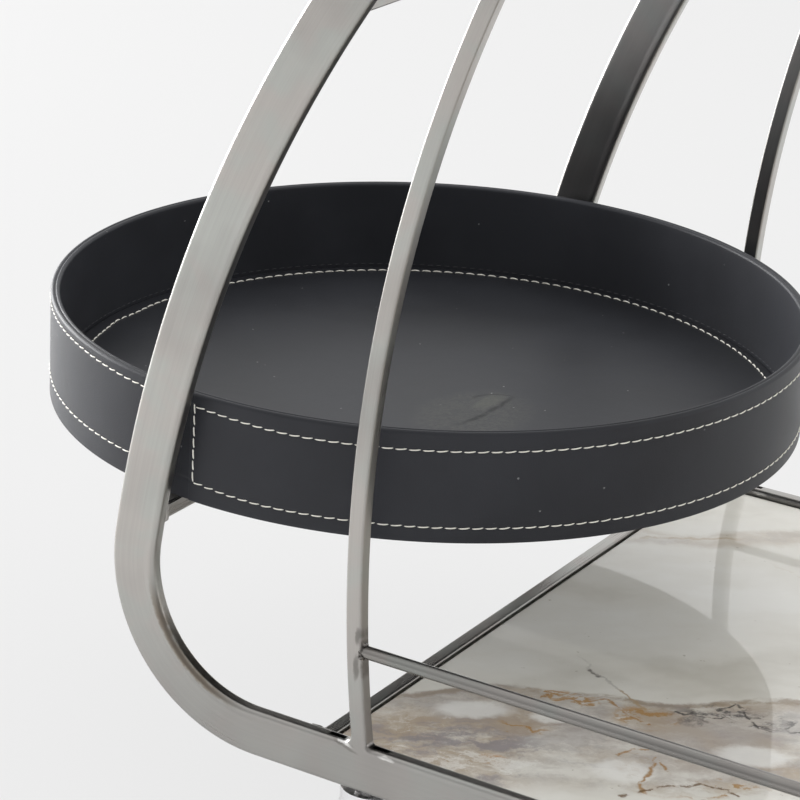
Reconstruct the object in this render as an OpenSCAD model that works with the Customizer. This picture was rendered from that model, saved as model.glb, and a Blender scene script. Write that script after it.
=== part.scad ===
// Bar cart: two bent flat-bar side frames joined by cross bars, two stone
// shelves, a lift-off leather tray hung out over one end, and four casters.
// X runs along the cart, Y across it and Z up from the floor.
// The origin is on the floor under the middle of the whole outline.

/* [Side frames] */
// Length of a side frame from end to end
frame_len = 890; // [800:5:1000]
// Height of the flat bar on its wide side
bar_w = 25; // [20:1:30]
// Thickness of all the flat bar
bar_t = 8; // [6:0.5:10]
// Rounding of the bar edges
bar_round = 1.6; // [0.5:0.1:2.5]
// Outer radius of the lower corner bends
bend_r = 88; // [70:1:110]
// Outer radius of the long side curves
side_r = 720; // [700:5:800]
// Height of the side curve's centre above the rail's underside
side_mid_rise = 4.5; // [0:0.5:20]
// Outer radius of the crown
crown_r = 180; // [120:5:220]

/* [Thin bars] */
// Width of the thin bar
thin_w = 8.5; // [6:0.5:12]
// Outer radius of the thin bar's curve
thin_r = 707; // [690:1:740]
// Distance of the thin bar's foot from the frame's end
thin_foot = 144; // [130:1:170]
// Height of the thin bar's centre above the rail's underside
thin_mid_rise = 134.5; // [110:0.5:150]

/* [Cross bars] */
// Width of the square cross bars
cross_w = 8; // [6:0.5:12]
// Height of the bars at the ends of the shelves
shelf_bar_h = 16; // [12:1:20]
// Distance of the lower shelf's end bar from the frame's end, to its middle
shelf_bar_at = 125.2; // [120:0.2:140]
// Distance of the tray's bar from the frame's end, to its middle
tray_bar_at = 23.2; // [20:0.2:30]
// Distance of the spreader bar from the frame's end, to its middle
spreader_at = 113.2; // [110:0.2:116]
// Height of the spreader bar above the tray's underside
spreader_rise = 252; // [250:1:256]
// Diameter of the round handle bars
handle_d = 14; // [10:1:18]
// Half the distance between the two handle bars
handle_at = 235; // [228:1:260]

/* [Shelves] */
// Thickness of a stone shelf
stone_t = 8; // [6:0.5:10]
// Drop from the top of a rail to the top of its shelf
stone_drop = 4; // [3:0.5:6]
// Gap round a stone shelf
stone_gap = 1.5; // [0.5:0.1:3]
// How far the end bars stand above the shelf
end_bar_lip = 1; // [0.5:0.1:2]
// Height of the upper shelf's top above the tray's underside
upper_rise = 400; // [390:1:404]
// Length of the upper shelf
upper_len = 360; // [340:1:362]
// Width of the ledges under the shelves
ledge_w = 14; // [12:1:20]
// Thickness of the ledges and braces
ledge_t = 3; // [2:0.5:3.5]
// Width of the brace under the middle of a shelf
brace_w = 22; // [16:1:40]

/* [Gallery rods] */
// Diameter of the rods
rod_d = 6.5; // [5:0.5:8]
// Height of the lower rods above the shelf, to the middle
rod_rise = 52.6; // [40:0.2:80]
// Height of the upper rods above the upper shelf, to the middle
upper_rod_rise = 45; // [38:1:55]

/* [Tray] */
// Outer radius of the tray
tray_r = 200; // [180:1:230]
// Gap between the tray and each side frame
tray_side_gap = 5; // [1:0.5:20]
// Height of the tray's wall
tray_h = 56; // [40:0.2:70]
// Thickness of the tray's wall
tray_wall_t = 5; // [4:0.5:8]
// Thickness of the tray's floor board
tray_floor_t = 3.6; // [3:0.1:8]
// Thickness of the leather mat sewn over the floor
mat_t = 1.4; // [1:0.1:3]
// Height of the tray's underside above the rail's underside
tray_rise = 120; // [112:1:130]
// Distance of the tray's axis from the frame's end
tray_at = 50.2; // [46:0.2:56]
// Length of the bearer strips under the tray
bearer_len = 300; // [260:5:320]
// Width of a bearer strip
bearer_w = 20; // [16:1:30]
// Thickness of a bearer strip
bearer_t = 2; // [1.5:0.1:3]
// Distance of each bearer from the middle of the tray
bearer_at = 80; // [50:1:100]
// Diameter of the grip pads
pad_d = 15; // [10:1:16]
// Thickness of the grip pads
pad_t = 0.8; // [0.6:0.1:1.5]
// Gap between the pads and the tray
rest_gap = 0.2; // [0.1:0.05:0.3]

/* [Casters] */
// Diameter of a wheel
wheel_d = 50; // [46:1:54]
// Width of a wheel
wheel_w = 18; // [16:1:20]
// Diameter of a wheel's core
core_d = 34; // [30:1:38]
// Distance of the casters from the frame's end
caster_at = 148; // [142:1:160]
// Trail of the wheel behind its stem
trail = 20; // [16:1:22]
// Diameter of the fork's crown
fork_d = 32; // [30:1:34]
// Thickness of the fork's crown
fork_t = 10; // [8:1:12]
// Gap between the wheel and the fork's crown
wheel_gap = 5; // [4.8:0.1:8]
// Thickness of a fork leg
leg_t = 2.5; // [2:0.5:3]
// Width of a fork leg
leg_w = 11; // [8:0.5:12]
// Width of the arm that holds the pedal's pin
arm_w = 6; // [4:0.5:6.5]
// Width of the rim round the axle's head and the pedal's pin
boss_rim = 2.2; // [2:0.1:4]
// Gap between a leg and the wheel
side_gap = 0.3; // [0.2:0.1:0.5]
// Diameter of the stem
stem_d = 10; // [8:1:12]
// Height of the collar above the fork
collar_t = 3; // [2:0.5:4]
// Diameter of the collar
collar_d = 18; // [16:1:20]
// Diameter of the nut across its corners
nut_d = 15; // [14:0.5:16]
// Thickness of the nut
nut_t = 4; // [3:0.5:4.5]
// Diameter of the axle
axle_d = 8; // [6:0.5:8]
// Diameter of the axle's heads
axle_head_d = 12; // [10:0.5:14]
// Thickness of the axle's heads
axle_head_t = 1.5; // [1:0.5:2]
// Width of the block that holds a stem
block_w = 18; // [16:1:22]
// Length of the block that holds a stem
block_len = 24; // [20:1:30]
// Thickness of the block that holds a stem
block_t = 9; // [7:0.5:9]
// Running clearance on the radius of a shaft
run_gap = 0.05; // [0.02:0.01:0.1]
// Gap at the end of a swivel or a pivot
end_gap = 0.3; // [0.2:0.05:0.3]

/* [Brakes] */
// Radius of the pedal's barrel
pedal_r = 3.4; // [3:0.1:4]
// Gap between the barrel and the wheel
pedal_gap = 0.6; // [0.4:0.1:1]
// Angle of the pedal's pivot round the wheel
pedal_angle = 50; // [45:1:55]
// Length of the pedal
pedal_len = 26; // [20:1:30]
// Thickness of the pedal
pedal_t = 2.5; // [2:0.5:3]
// Slope of the pedal when it is off
pedal_slope = 8; // [0:1:12]
// Diameter of the pedal's pin
pin_d = 3; // [2.5:0.5:3.5]

/* [Hidden] */
$fn = 96;
caster_h = wheel_d + wheel_gap + fork_t + collar_t;
rail_z = caster_h;
rail_top = rail_z + bar_w;
tray_z = rail_z + tray_rise;
tray_x_from_frame = tray_at - frame_len / 2;
frame_x = -(tray_x_from_frame - tray_r + frame_len / 2) / 2;
tray_x = frame_x + tray_x_from_frame;
inner_y = tray_r + tray_side_gap;
frame_gap = 2 * inner_y;
bar_y = inner_y + bar_t / 2;

// Centres of the curves of the left end, from the middle of the frame
bend_x = bend_r - frame_len / 2;
bend_z = rail_z + bend_r;
side_z = rail_z + side_mid_rise;
side_x = bend_x + sqrt(pow(side_r - bend_r, 2) - pow(bend_z - side_z, 2));
crown_z = side_z + sqrt(pow(side_r - crown_r, 2) - side_x * side_x);
low_angle = 180 - atan2(bend_z - side_z, side_x - bend_x);
high_angle = atan2(crown_z - side_z, -side_x);

// Centre of the left thin bar's curve, from the middle of the frame
thin_z = rail_z + thin_mid_rise;
thin_drop = rail_top - thin_z;
thin_x = thin_foot - frame_len / 2 + sqrt(thin_r * thin_r - thin_drop * thin_drop);
thin_inner_r = thin_r - thin_w;

lower_top = rail_top - stone_drop;
upper_top = tray_z + upper_rise;
shelf_bar_x = frame_len / 2 - shelf_bar_at;
upper_bar_x = upper_len / 2 + stone_gap + cross_w / 2;
lower_half = shelf_bar_x - cross_w / 2 - stone_gap;
upper_half = upper_len / 2;
bearer_z = tray_z - rest_gap - pad_t - bearer_t;

fork_top = caster_h - collar_t - end_gap;
fork_z = wheel_d + wheel_gap;
caster_x = frame_len / 2 - caster_at;
caster_y = inner_y - block_w / 2;
leg_y = wheel_w / 2 + side_gap;
pivot_rad = wheel_d / 2 + pedal_gap + pedal_r;
hub = [trail, wheel_d / 2];
pivot = hub + pivot_rad * [cos(pedal_angle), sin(pedal_angle)];
tyre_round = 2.5;

// Rounded rectangle, centred
module section(w, t, r) {
    square([w - 2 * r, t], center = true);
    square([w, t - 2 * r], center = true);
    for (sx = [-1, 1], sy = [-1, 1])
        translate([sx * (w / 2 - r), sy * (t / 2 - r)]) circle(r = r, $fn = 24);
}

// Bar bent round a centre in the XZ plane, from angle a0 to a1
module bent_bar(x, z, outer_r, w, a0, a1) {
    translate([x, 0, z])
        rotate([90, 0, 0])
            rotate([0, 0, a0])
                rotate_extrude(angle = a1 - a0, $fn = 360)
                    translate([outer_r - w / 2, 0]) section(w, bar_t, bar_round);
}

// Straight bar along X with its middle at the given height
module bar_along_x(len, z, w, t) {
    translate([-len / 2, 0, z])
        rotate([90, 0, 90])
            linear_extrude(len) section(t, w, bar_round);
}

// Straight bar along Y that fills the gap between the frames
module bar_along_y(x, top, w, h) {
    translate([x, inner_y, top - h / 2])
        rotate([90, 0, 0])
            linear_extrude(frame_gap) section(w, h, bar_round);
}

// Disc in the XZ plane that trims a part to a curve
module trim_disc(x, z, r) {
    translate([x, 0, z])
        rotate([90, 0, 0])
            cylinder(r = r, h = 4 * bar_t, center = true, $fn = 360);
}

// Places a piece of a side frame: y is -1 for near and 1 for far
module at_side(y) {
    translate([frame_x, y * bar_y, 0]) children();
}

// Turns a left piece into a right one where end is 1
module at_end(end) {
    if (end < 0) children();
    else mirror([1, 0, 0]) children();
}

module bottom_rail(y) {
    color("#9b9893")
        at_side(y)
            bar_along_x(-2 * bend_x, rail_z + bar_w / 2, bar_w, bar_t);
}

module bend(y, end) {
    color("#9b9893")
        at_side(y)
            at_end(end) bent_bar(bend_x, bend_z, bend_r, bar_w, low_angle, 270);
}

module side_bar(y, end) {
    color("#a09d98")
        at_side(y)
            at_end(end) bent_bar(side_x, side_z, side_r, bar_w, high_angle, low_angle);
}

module crown(y) {
    color("#9b9893")
        at_side(y) bent_bar(0, crown_z, crown_r, bar_w, 180 - high_angle, high_angle);
}

// The thin bar rises from the bottom rail and dies into the side bar.
// It is drawn flat in the frame's plane, then given the bar's thickness.
module thin_bar(y, end) {
    color("#a5a29c")
        at_side(y)
            at_end(end)
                rotate([90, 0, 0])
                    translate([0, 0, -bar_t / 2])
                        linear_extrude(bar_t, convexity = 4)
                            intersection() {
                                translate([thin_x, thin_z])
                                    difference() {
                                        circle(r = thin_r, $fn = 360);
                                        circle(r = thin_inner_r, $fn = 360);
                                    }
                                translate([side_x, side_z]) circle(r = side_r - bar_w, $fn = 360);
                                translate([thin_x - thin_r, rail_top]) square([frame_len / 2, side_r]);
                            }
}

// Keeps what lies between the two thin bars
module between_thin_bars() {
    intersection() {
        children();
        trim_disc(thin_x, thin_z, thin_inner_r);
        trim_disc(-thin_x, thin_z, thin_inner_r);
    }
}

// Keeps what lies between the two side bars of a frame
module between_side_bars() {
    intersection() {
        children();
        trim_disc(side_x, side_z, side_r - bar_w);
        trim_disc(-side_x, side_z, side_r - bar_w);
    }
}

// Where the side bars reach further in than the thin bars, the rail ends at them
module upper_rail(y) {
    color("#9b9893")
        at_side(y)
            between_side_bars()
                between_thin_bars()
                    bar_along_x(frame_len, upper_top + stone_drop - bar_w / 2, bar_w, bar_t);
}

module rod(len, z) {
    translate([-len / 2, 0, z])
        rotate([0, 90, 0]) cylinder(d = rod_d, h = len);
}

module gallery_rod(y) {
    color("#8f8d89")
        at_side(y)
            between_thin_bars() rod(frame_len, lower_top + rod_rise);
}

module upper_rods() {
    color("#8f8d89")
        for (y = [-1, 1])
            at_side(y)
                between_side_bars() rod(frame_len, upper_top + upper_rod_rise);
}

module shelf_bar(end) {
    color("#6d6b69")
        translate([frame_x, 0, 0])
            bar_along_y(end * shelf_bar_x, lower_top + end_bar_lip, cross_w, shelf_bar_h);
}

module upper_shelf_bar(end) {
    color("#6d6b69")
        translate([frame_x, 0, 0])
            bar_along_y(end * upper_bar_x, upper_top + end_bar_lip, cross_w, shelf_bar_h);
}

module spreader_bar(end) {
    color("#7d7b78")
        translate([frame_x + end * (frame_len / 2 - spreader_at), 0, 0])
            bar_along_y(0, tray_z + spreader_rise + cross_w, cross_w, cross_w);
}

// Round handles join the two frames just outside the upper shelf
module handle_bars() {
    handle_z = side_z + sqrt(pow(side_r - bar_w / 2, 2) - pow(side_x + handle_at, 2));
    color("#8f8d89")
        for (end = [-1, 1])
            translate([frame_x + end * handle_at, inner_y, handle_z])
                rotate([90, 0, 0]) cylinder(d = handle_d, h = frame_gap);
}

// Strips along the rails that carry a shelf, given its half length and its top
module ledges(half, top) {
    color("#84827f")
        for (low_y = [-inner_y, inner_y - ledge_w])
            translate([frame_x - half - stone_gap, low_y, top - stone_t - ledge_t])
                cube([2 * (half + stone_gap), ledge_w, ledge_t]);
}

// Strip across the middle of each shelf, from ledge to ledge
module shelf_braces() {
    color("#84827f")
        for (top = [lower_top, upper_top])
            translate([frame_x - brace_w / 2, ledge_w - inner_y, top - stone_t - ledge_t])
                cube([brace_w, frame_gap - 2 * ledge_w, ledge_t]);
}

module stone(half, top) {
    color("#d8d2c8")
        translate([frame_x - half, stone_gap - inner_y, top - stone_t])
            cube([2 * half, frame_gap - 2 * stone_gap, stone_t]);
}

module tray_bar() {
    color("#84827f")
        translate([frame_x, 0, 0])
            bar_along_y(tray_bar_at - frame_len / 2, bearer_z, cross_w, cross_w);
}

module tray_bearers() {
    color("#84827f")
        for (y = [-1, 1])
            translate([tray_x - bearer_len / 2, y * bearer_at - bearer_w / 2, bearer_z])
                cube([bearer_len, bearer_w, bearer_t]);
}

module tray_pads() {
    color("#202020")
        for (x = [-1, 1], y = [-1, 1])
            translate([tray_x + x * (bearer_len / 2 - pad_d), y * bearer_at, bearer_z + bearer_t])
                cylinder(d = pad_d, h = pad_t);
}

module tray_floor() {
    color("#2b2b2d")
        translate([tray_x, 0, tray_z])
            cylinder(r = tray_r - tray_wall_t, h = tray_floor_t, $fn = 180);
}

// Wall with a softly rounded rim and foot
module tray_wall() {
    rim_r = tray_wall_t / 2 - 0.6;
    color("#303033")
        translate([tray_x, 0, tray_z])
            rotate_extrude($fn = 180)
                translate([tray_r - tray_wall_t / 2, tray_h / 2])
                    section(tray_wall_t, tray_h, rim_r);
}

module tray_mat() {
    color("#28282a")
        translate([tray_x, 0, tray_z + tray_floor_t])
            cylinder(r = tray_r - tray_wall_t, h = mat_t, $fn = 180);
}

// Repeats its children at the four casters
module at_casters() {
    for (x = [-1, 1], y = [-1, 1])
        translate([frame_x + x * caster_x, y * caster_y, 0]) children();
}

// Places one caster's piece: x and y are -1 or 1
module at_caster(x, y) {
    translate([frame_x + x * caster_x, y * caster_y, 0]) children();
}

module caster_blocks() {
    color("#84827f")
        at_casters()
            difference() {
                translate([-block_len / 2, -block_w / 2, rail_z]) cube([block_len, block_w, block_t]);
                translate([0, 0, rail_z - 1]) cylinder(d = stem_d + 2 * run_gap, h = block_t + 2);
            }
}

// Puts a piece drawn along Z on the wheel's axis
module at_hub() {
    translate([hub[0], 0, hub[1]])
        rotate([90, 0, 0]) children();
}

// Puts a piece drawn along Z on the pedal's axis
module at_pivot() {
    translate([pivot[0], 0, pivot[1]])
        rotate([90, 0, 0]) children();
}

// Stem with its collar above the fork and its nut below
module caster_stems() {
    color("#c9c9cc")
        at_casters() {
            translate([0, 0, fork_z - end_gap - nut_t]) {
                cylinder(d = nut_d, h = nut_t, $fn = 6);
                cylinder(d = stem_d, h = rail_z + block_t - fork_z + end_gap + nut_t);
            }
            translate([0, 0, rail_z - collar_t]) cylinder(d = collar_d, h = collar_t);
        }
}

// Straight strip of width w from p to q, in the XY plane
module strip(p, q, w) {
    along = (q - p) / norm(q - p);
    side = w / 2 * [-along[1], along[0]];
    polygon([p + side, q + side, q - side, p - side]);
}

// One leg of a fork, in its own XY plane: a strap to the axle and an arm to the pedal's pin
module leg_outline() {
    crown_mid = fork_z + fork_t / 2;
    strip([0, crown_mid], hub, leg_w);
    strip([arm_w, crown_mid], pivot, arm_w);
    translate(hub) circle(r = axle_head_d / 2 + boss_rim);
    translate(pivot) circle(r = pin_d / 2 + boss_rim);
}

module fork(x, y) {
    color("#d5d6d8")
        at_caster(x, y)
            difference() {
                union() {
                    translate([0, 0, fork_z]) cylinder(d = fork_d, h = fork_top - fork_z);
                    for (side = [-1, 1])
                        translate([0, side * (leg_y + leg_t / 2) + leg_t / 2, 0])
                            rotate([90, 0, 0]) linear_extrude(leg_t) leg_outline();
                }
                translate([0, 0, fork_z - 1]) cylinder(d = stem_d + 2 * run_gap, h = fork_t + 2);
                at_hub()
                    cylinder(d = axle_d + 2 * run_gap, h = 2 * (leg_y + leg_t) + 2, center = true);
                at_pivot()
                    cylinder(d = pin_d + 2 * run_gap, h = 2 * (leg_y + leg_t) + 2, center = true);
            }
}

module axle(x, y) {
    span = 2 * (leg_y + leg_t);
    color("#bfc0c3")
        at_caster(x, y)
            at_hub() {
                cylinder(d = axle_d, h = span, center = true);
                for (side = [-1, 1])
                    translate([0, 0, side * (span + axle_head_t) / 2])
                        cylinder(d = axle_head_d, h = axle_head_t, center = true);
            }
}

module core(x, y) {
    color("#3a3a3c")
        at_caster(x, y)
            at_hub()
                difference() {
                    cylinder(d = core_d, h = wheel_w, center = true);
                    cylinder(d = axle_d + 2 * run_gap, h = wheel_w + 2, center = true);
                }
}

module tyre(x, y) {
    inner_r = core_d / 2 + run_gap;
    outer_r = wheel_d / 2;
    half = wheel_w / 2;
    color("#1c1c1d")
        at_caster(x, y)
            at_hub()
                rotate_extrude()
                    polygon([
                        [inner_r, -half], [outer_r - tyre_round, -half],
                        [outer_r, tyre_round - half], [outer_r, half - tyre_round],
                        [outer_r - tyre_round, half], [inner_r, half]
                    ]);
}

// Pedal that swings on a pin in the fork, behind the wheel
module brake_pedal(x, y) {
    color("#2a2a2b")
        at_caster(x, y)
            at_pivot()
                rotate([0, 0, pedal_slope]) {
                    translate([0, 0, -wheel_w / 2]) linear_extrude(wheel_w) {
                        circle(r = pedal_r);
                        translate([0, -pedal_t / 2]) square([pedal_len, pedal_t]);
                    }
                    cylinder(d = pin_d, h = 2 * (leg_y + leg_t), center = true);
                }
}

bottom_rail(-1);  // near_bottom_rail
bend(-1, -1);  // near_left_bend
bend(-1, 1);  // near_right_bend
side_bar(-1, -1);  // near_left_side_bar
side_bar(-1, 1);  // near_right_side_bar
crown(-1);  // near_crown
bottom_rail(1);  // far_bottom_rail
bend(1, -1);  // far_left_bend
bend(1, 1);  // far_right_bend
side_bar(1, -1);  // far_left_side_bar
side_bar(1, 1);  // far_right_side_bar
crown(1);  // far_crown
thin_bar(-1, -1);  // near_left_thin_bar
thin_bar(-1, 1);  // near_right_thin_bar
thin_bar(1, -1);  // far_left_thin_bar
thin_bar(1, 1);  // far_right_thin_bar
upper_rail(-1);  // near_upper_rail
upper_rail(1);  // far_upper_rail
shelf_bar(-1);  // shelf_left_bar
shelf_bar(1);  // shelf_right_bar
upper_shelf_bar(-1);  // upper_shelf_left_bar
upper_shelf_bar(1);  // upper_shelf_right_bar
spreader_bar(-1);  // left_spreader_bar
spreader_bar(1);  // right_spreader_bar
handle_bars();
gallery_rod(-1);  // near_gallery_rod
gallery_rod(1);  // far_gallery_rod
upper_rods();
ledges(lower_half, lower_top);  // lower_ledges
ledges(upper_half, upper_top);  // upper_ledges
shelf_braces();
stone(lower_half, lower_top);  // lower_stone_shelf
stone(upper_half, upper_top);  // upper_stone_shelf
tray_bar();
tray_bearers();
tray_pads();
tray_floor();
tray_wall();
tray_mat();
caster_blocks();
caster_stems();
fork(-1, -1);  // near_left_fork
fork(1, -1);  // near_right_fork
fork(-1, 1);  // far_left_fork
fork(1, 1);  // far_right_fork
axle(-1, -1);  // near_left_axle
axle(1, -1);  // near_right_axle
axle(-1, 1);  // far_left_axle
axle(1, 1);  // far_right_axle
core(-1, -1);  // near_left_core
core(1, -1);  // near_right_core
core(-1, 1);  // far_left_core
core(1, 1);  // far_right_core
tyre(-1, -1);  // near_left_tyre
tyre(1, -1);  // near_right_tyre
tyre(-1, 1);  // far_left_tyre
tyre(1, 1);  // far_right_tyre
brake_pedal(1, -1);  // near_brake_pedal
brake_pedal(1, 1);  // far_brake_pedal
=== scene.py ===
import functools
import math

import bpy
import numpy as np
from mathutils import Matrix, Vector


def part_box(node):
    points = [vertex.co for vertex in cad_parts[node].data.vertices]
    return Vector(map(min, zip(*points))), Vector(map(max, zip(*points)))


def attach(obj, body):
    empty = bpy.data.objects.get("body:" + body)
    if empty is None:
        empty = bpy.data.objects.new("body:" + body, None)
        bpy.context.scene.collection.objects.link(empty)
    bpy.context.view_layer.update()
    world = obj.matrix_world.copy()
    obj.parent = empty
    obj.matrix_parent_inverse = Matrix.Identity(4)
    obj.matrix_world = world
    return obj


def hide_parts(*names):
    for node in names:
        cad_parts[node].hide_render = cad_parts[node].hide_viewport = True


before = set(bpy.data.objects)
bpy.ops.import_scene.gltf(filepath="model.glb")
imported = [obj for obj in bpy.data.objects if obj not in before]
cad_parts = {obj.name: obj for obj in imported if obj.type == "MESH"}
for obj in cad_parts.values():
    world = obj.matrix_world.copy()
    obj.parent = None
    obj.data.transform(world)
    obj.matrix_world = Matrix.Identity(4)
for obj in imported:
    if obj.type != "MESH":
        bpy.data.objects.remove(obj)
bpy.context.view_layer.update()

MM = 0.001
X_AXIS, Y_AXIS, Z_AXIS = np.eye(3)

# ------------ sizes, in mm
BAR_W, BAR_T = 25.0, 8.0
BEND_R, SIDE_R, CROWN_R = 88.0, 720.0, 180.0
FRAME_LEN, INNER_Y, RAIL_Z = 890.0, 205.0, 68.0
THIN_W, THIN_R, THIN_RISE, THIN_FOOT = 8.5, 707.0, 134.5, 144.0
ROD_D = 6.5
TRAY_R, TRAY_H, TRAY_WALL, TRAY_FLOOR = 200.0, 56.0, 5.0, 5.0
FRAME_X = 74.9
TRAY_X, TRAY_Z = -319.9, 188.0
RAIL_TOP = RAIL_Z + BAR_W
BAR_Y = INNER_Y + BAR_T / 2
LOWER_TOP, UPPER_TOP = RAIL_TOP - 4.0, TRAY_Z + 400.0

BEND_X, BEND_Z = BEND_R - FRAME_LEN / 2, RAIL_Z + BEND_R
SIDE_Z = RAIL_Z + 4.5
SIDE_X = BEND_X + math.sqrt((SIDE_R - BEND_R) ** 2 - (BEND_Z - SIDE_Z) ** 2)
CROWN_Z = SIDE_Z + math.sqrt((SIDE_R - CROWN_R) ** 2 - SIDE_X ** 2)
LOW_ANGLE = math.pi - math.atan2(BEND_Z - SIDE_Z, SIDE_X - BEND_X)
HIGH_ANGLE = math.atan2(CROWN_Z - SIDE_Z, -SIDE_X)
THIN_Z = RAIL_Z + THIN_RISE
THIN_X = THIN_FOOT - FRAME_LEN / 2 + math.sqrt(THIN_R ** 2 - (RAIL_TOP - THIN_Z) ** 2)


# ------------ shader maths
def maths(operation):
    """A method that adds a Math node with this operation."""
    def method(self, *other):
        return self.nodes.node("ShaderNodeMath", {"operation": operation}, [self, *other])
    return method


class Value:
    """A node's output socket that adds Math nodes when it is used in an expression."""

    def __init__(self, nodes, socket):
        self.nodes, self.socket = nodes, socket

    __add__ = __radd__ = maths("ADD")
    __mul__ = __rmul__ = maths("MULTIPLY")
    __sub__, __truediv__, __pow__ = maths("SUBTRACT"), maths("DIVIDE"), maths("POWER")
    __abs__, most = maths("ABSOLUTE"), maths("MAXIMUM")

    def __rsub__(self, other):
        return self.nodes.node("ShaderNodeMath", {"operation": "SUBTRACT"}, [other, self])

    def step(self, low, high):
        """0 below low, 1 above high, smooth between."""
        settings = {"interpolation_type": "SMOOTHSTEP"}
        return self.nodes.node("ShaderNodeMapRange", settings, [self, low, high, 0.0, 1.0])


class Nodes:
    """An emptied node tree, and the method that adds nodes to it."""

    def __init__(self, tree):
        self.tree = tree
        tree.nodes.clear()

    def put(self, socket, value):
        """Gives a socket a value or a link."""
        if isinstance(value, Value):
            self.tree.links.new(value.socket, socket)
        elif socket.type == "RGBA" and len(value) == 3:
            socket.default_value = (*value, 1.0)
        else:
            socket.default_value = value

    def node(self, kind, settings=None, values=(), output=0):
        """Adds a node: its settings first, then its sockets, in order or by name."""
        node = self.tree.nodes.new(kind)
        for key, setting in (settings or {}).items():
            setattr(node, key, setting)
        named = values.items() if isinstance(values, dict) else enumerate(values)
        for key, value in named:
            self.put(node.inputs[key], value)
        return None if output is None else Value(self, node.outputs[output])


class Finish(Nodes):
    """A material, and the nodes that make it."""

    def __init__(self, name, **uniform):
        self.material = bpy.data.materials.new(name)
        self.material.use_nodes = True
        super().__init__(self.material.node_tree)
        self.output = self.tree.nodes.new("ShaderNodeOutputMaterial")
        self.shader = self.tree.nodes.new("ShaderNodeBsdfPrincipled")
        self.tree.links.new(self.shader.outputs[0], self.output.inputs["Surface"])
        for socket, value in uniform.items():
            self.set(socket.replace("_", " "), value)

    def set(self, socket, value):
        """Gives one of the shader's sockets a value or a link."""
        self.put(self.shader.inputs[socket], value)

    def place(self, scale=(1.0, 1.0, 1.0), turn=(0.0, 0.0, 0.0), shift=(0.0, 0.0, 0.0), kind="Object"):
        """Object coordinates or the piece's own UV map, moved, turned and scaled."""
        source = self.node("ShaderNodeTexCoord", output=kind)
        mapping = {"Vector": source, "Location": shift, "Rotation": turn, "Scale": scale}
        return self.node("ShaderNodeMapping", None, mapping)

    def axes(self, where):
        """A place's coordinates, in mm."""
        split = self.node("ShaderNodeSeparateXYZ", None, [where]).socket.node
        return [Value(self, axis) * 1000.0 for axis in split.outputs]

    def noise(self, where, scale, detail=2.0, roughness=0.5, distortion=0.0, output=0):
        values = {"Vector": where, "Scale": scale, "Detail": detail, "Roughness": roughness,
                  "Distortion": distortion}
        return self.node("ShaderNodeTexNoise", None, values, output)

    def cells(self, where, scale):
        """Distance to the nearest of randomly placed points."""
        return self.node("ShaderNodeTexVoronoi", None, {"Vector": where, "Scale": scale})

    def pebbles(self, where, scale, smooth):
        values = {"Vector": where, "Scale": scale, "Smoothness": smooth}
        return self.node("ShaderNodeTexVoronoi", {"feature": "SMOOTH_F1"}, values)

    def ramp(self, factor, stops):
        """Colour ramp with a stop for each pair of a place and a colour."""
        found = self.node("ShaderNodeValToRGB", None, [factor])
        ramp = found.socket.node.color_ramp
        while len(ramp.elements) < len(stops):
            ramp.elements.new(0.5)
        for element, (place, colour) in zip(ramp.elements, stops):
            element.position, element.color = place, (*colour, 1.0)
        return found

    def mix(self, factor, first, second):
        """Mixes two colours."""
        node = self.tree.nodes.new("ShaderNodeMix")
        node.data_type = "RGBA"
        for index, value in ((0, factor), (6, first), (7, second)):
            self.put(node.inputs[index], value)
        return Value(self, node.outputs[2])

    def vectors(self, operation, *values):
        return self.node("ShaderNodeVectorMath", {"operation": operation}, values)

    def push(self, where, by, amount):
        """Moves a place by a colour or vector times an amount."""
        centred = self.vectors("SUBTRACT", by, (0.5, 0.5, 0.5))
        return self.vectors("ADD", where, self.vectors("MULTIPLY", centred, (amount, amount, amount)))

    def bump(self, height, depth, strength=1.0, below=None):
        """Bump from a height of 0 to 1 that stands for depth metres."""
        values = {"Height": height, "Distance": depth, "Strength": strength}
        if below is not None:
            values["Normal"] = below
        return self.node("ShaderNodeBump", None, values)


# ------------ meshes
def add_object(name, data):
    piece = bpy.data.objects.new(name, data)
    bpy.context.scene.collection.objects.link(piece)
    return piece


def new_piece(name, points, faces, uv=None, normals=None):
    """Mesh piece from points in mm, a list of face arrays, and per-corner UVs and normals."""
    mesh = bpy.data.meshes.new(name)
    corners = np.concatenate([f.ravel() for f in faces])
    sizes = np.concatenate([np.full(len(f), f.shape[1]) for f in faces])
    starts = np.concatenate([[0], np.cumsum(sizes)[:-1]])
    mesh.vertices.add(len(points))
    mesh.vertices.foreach_set("co", (np.asarray(points) * MM).astype(np.float32).ravel())
    mesh.loops.add(len(corners))
    mesh.loops.foreach_set("vertex_index", corners.astype(np.int32))
    mesh.polygons.add(len(sizes))
    mesh.polygons.foreach_set("loop_start", starts.astype(np.int32))
    mesh.polygons.foreach_set("use_smooth", np.ones(len(sizes), bool))
    if uv is not None:
        layer = mesh.uv_layers.new(name="grain")
        layer.data.foreach_set("uv", (np.asarray(uv) * MM).astype(np.float32).ravel())
    mesh.update()
    if normals is not None:
        mesh.normals_split_custom_set(np.asarray(normals).astype(np.float32))
    return add_object(name, mesh)


def unit(vectors):
    return vectors / np.maximum(np.linalg.norm(vectors, axis=-1, keepdims=True), 1e-12)


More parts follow.
